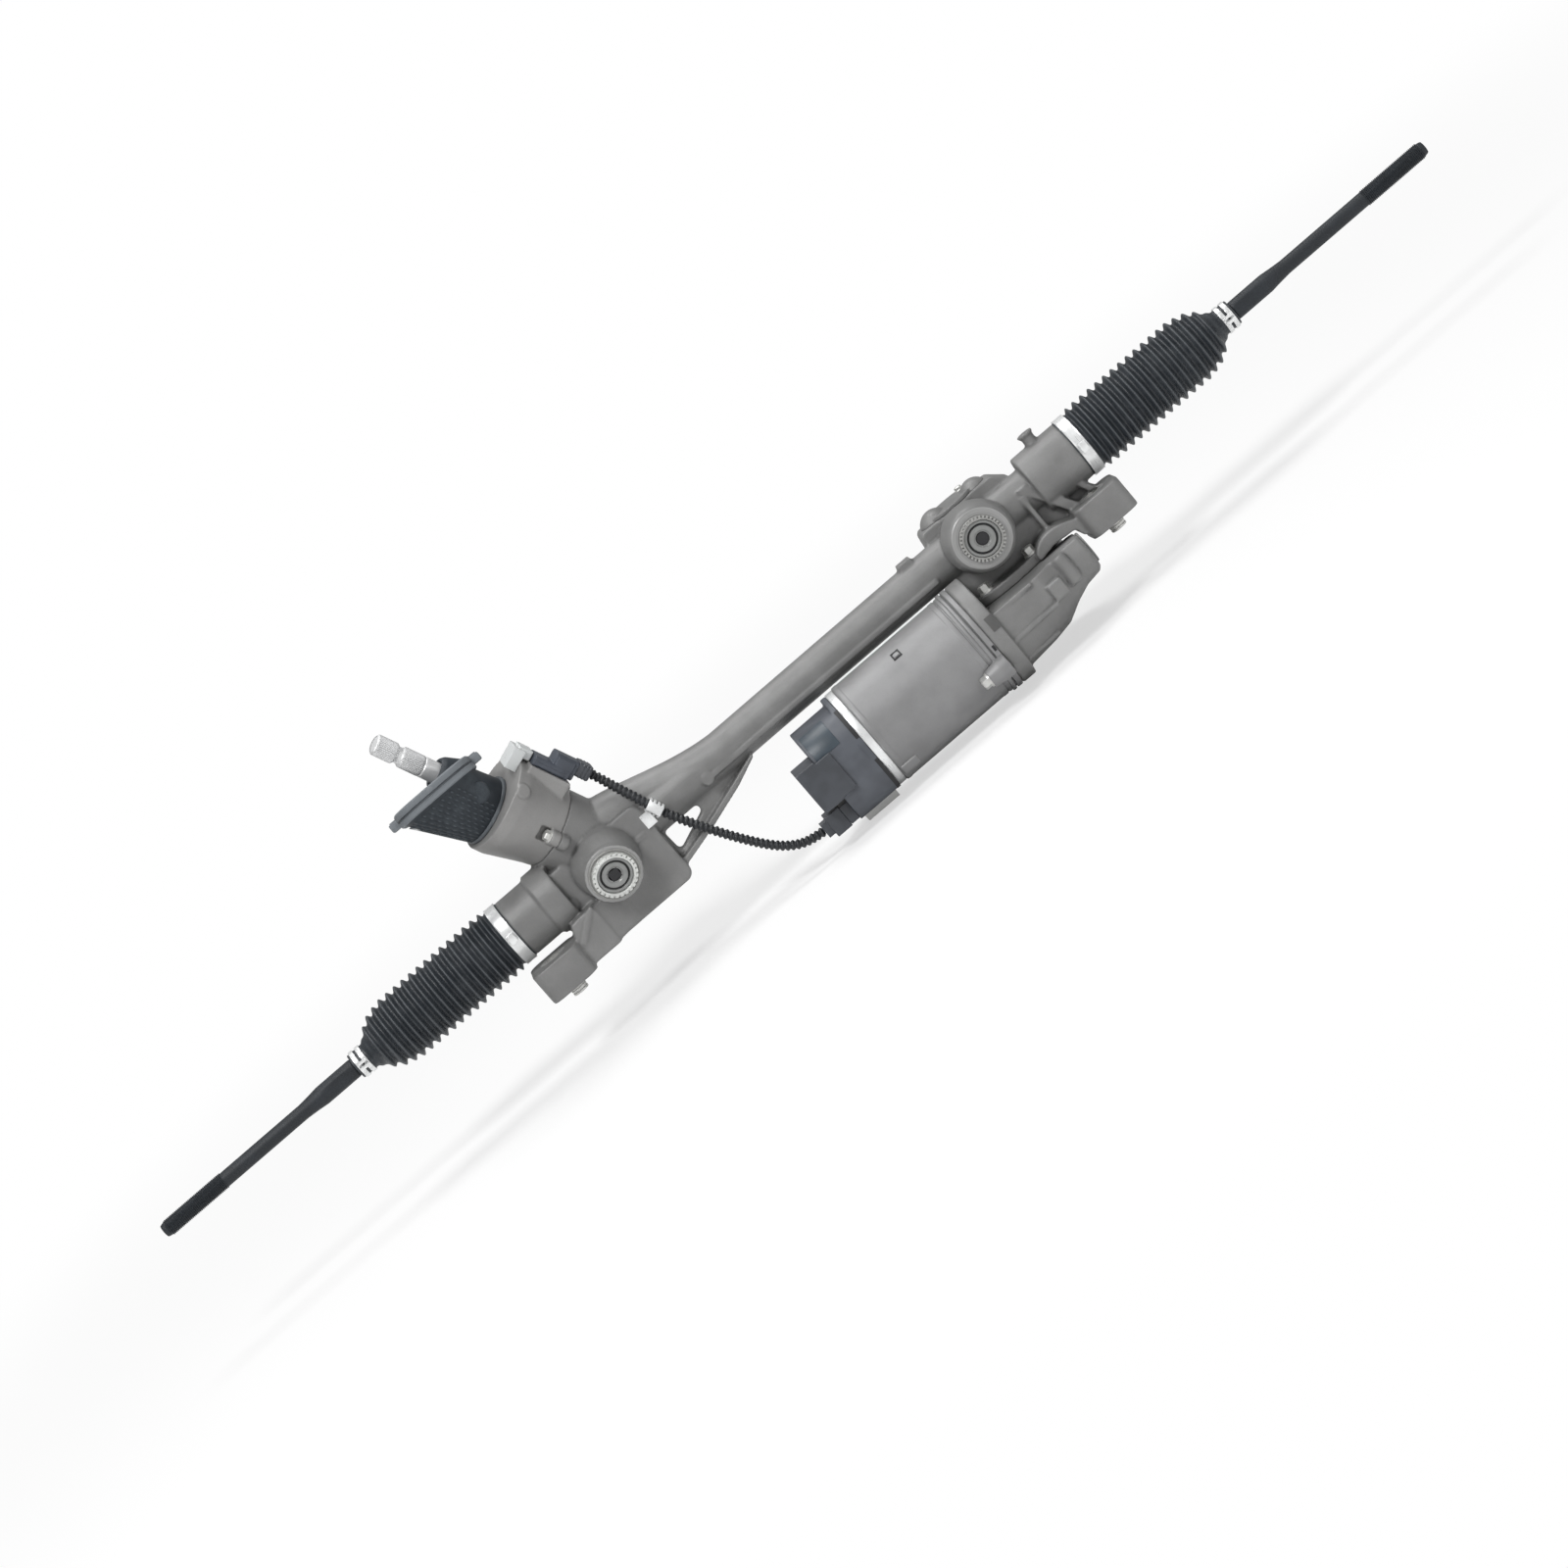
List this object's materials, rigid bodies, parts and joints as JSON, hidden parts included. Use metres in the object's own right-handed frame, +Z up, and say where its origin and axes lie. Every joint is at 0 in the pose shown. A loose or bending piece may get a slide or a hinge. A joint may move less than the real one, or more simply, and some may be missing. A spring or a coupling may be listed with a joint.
{
  "type": "steering rack",
  "caption": "Electric power steering rack with two pinions: input shaft, motor with worm gearbox, bellows and tie rods, on a cast housing with two mounting ears.",
  "frame": {"origin": "midway between the two mounting bolts, on the seating face under the ears", "axes": "+X along the rack toward the motor end's tie rod, +Y to the back (away from the yoke plugs), +Z up, the way the input shaft and the mounting bolts stand"},
  "size_m": [1.29, 0.1523, 0.2975],
  "materials": {
    "cast_aluminium": "sand cast, lightly blasted",
    "can": "smooth, dull",
    "band": "bright",
    "unit": "fine grain",
    "connector_black": "fine grain",
    "pale_plastic": "satin",
    "rubber": "soft, dull",
    "lead": "corrugated",
    "forged": "dark coating",
    "steel": "machined",
    "bolts": "zinc plated",
    "yoke": "turned",
    "nylon": "natural",
    "magnet": "plated",
    "winding": "enamelled copper over steel",
    "board": "solder mask"
  },
  "bodies": {
    "housing": {"band_clamps": "band", "bearing_outer_rings": "steel", "bellows_left": "rubber", "bellows_right": "rubber", "bulkhead_seal": "rubber", "connector_lug": "pale_plastic", "control_board": "board", "control_cover": "unit", "control_plug": "connector_black", "end_stops": "steel", "gearbox_floor_cap": "cast_aluminium", "gearbox_housing": "cast_aluminium", "heat_sink": "can", "housing_bolts": "bolts", "lead_clip": "band", "motor_band": "band", "motor_flange": "cast_aluminium", "motor_housing": "can", "mounting_sleeves": "steel", "needle_bearing": "steel", "pinion_bearing_cap": "cast_aluminium", "pinion_end_cap": "steel", "power_connector": "connector_black", "rack_bush": "nylon", "rack_housing": "cast_aluminium", "sensor_connector": "connector_black", "sensor_housing": "cast_aluminium", "sensor_lead": "lead", "sensor_plug": "connector_black", "sensor_ring": "board", "signal_connector": "connector_black", "stator": "winding", "worm_end_cap": "cast_aluminium", "yoke_liners": "pale_plastic", "yoke_lock_rings": "steel", "yoke_plugs": "yoke", "yoke_spring_discs": "steel", "yokes": "yoke"},
    "rack": {"rack_bar": "steel", "ball_sockets": "steel", "ball_seats": "nylon"},
    "tie_rod_left": {"tie_rod_left": "forged", "rod_clamp_left": "band"},
    "tie_rod_right": {"tie_rod_right": "forged", "rod_clamp_right": "band"},
    "steering_pinion": {"steering_pinion": "steel", "torsion_bar": "steel", "steering_inner_rings": "steel"},
    "input_shaft": {"input_shaft": "steel", "magnet_ring": "magnet"},
    "drive_pinion": {"drive_pinion": "steel", "wheel_hub": "steel", "worm_wheel_rim": "nylon", "drive_inner_rings": "steel"},
    "motor_rotor": {"motor_shaft": "steel", "rotor_core": "steel", "rotor_magnets": "magnet", "shaft_coupling": "pale_plastic", "worm": "steel", "motor_inner_rings": "steel"}
  },
  "joints": [
    {"name": "motor_spin", "type": "hinge", "parent": "housing", "child": "motor_rotor", "pos_m": [0.1, -0.0171, 0], "axis": [-1, 0, 0], "range_deg": [-8809.2, 8809.2]},
    {"name": "rack_travel", "type": "slide", "parent": "housing", "child": "rack", "axis": [1, 0, 0], "range_m": [-0.07505, 0.07505], "deforming": ["bellows_left", "bellows_right"]},
    {"name": "drive_spin", "type": "hinge", "parent": "housing", "child": "drive_pinion", "pos_m": [0.1865, 0.0329, 0.06], "axis": [0, 0, 1], "range_deg": [-430, 430]},
    {"name": "steer_spin", "type": "hinge", "parent": "housing", "child": "steering_pinion", "pos_m": [-0.196, 0.03055, 0.06417], "axis": [-0.3665, -0.2408, 0.8987], "range_deg": [-501, 501]},
    {"name": "torsion_twist", "type": "hinge", "parent": "steering_pinion", "child": "input_shaft", "pos_m": [-0.196, 0.03055, 0.06417], "axis": [-0.3665, -0.2408, 0.8987], "range_deg": [-4.5, 4.5], "stiffness_Nm_per_rad": 100},
    {"name": "left_ball_joint", "type": "hinge", "parent": "rack", "child": "tie_rod_left", "pos_m": [-0.363, 0.015, 0.06], "axis": [0, 1, 0], "range_deg": [-22, 22]},
    {"name": "right_ball_joint", "type": "hinge", "parent": "rack", "child": "tie_rod_right", "pos_m": [0.367, 0.015, 0.06], "axis": [0, 1, 0], "range_deg": [-22, 22]}
  ],
  "couplings": [
    {"joint": "rack_travel", "follows": "motor_spin", "m_per_rad": 0.0004878},
    {"joint": "drive_spin", "follows": "motor_spin", "ratio": 0.04878},
    {"joint": "steer_spin", "follows": "motor_spin", "ratio": 0.056733}
  ]
}
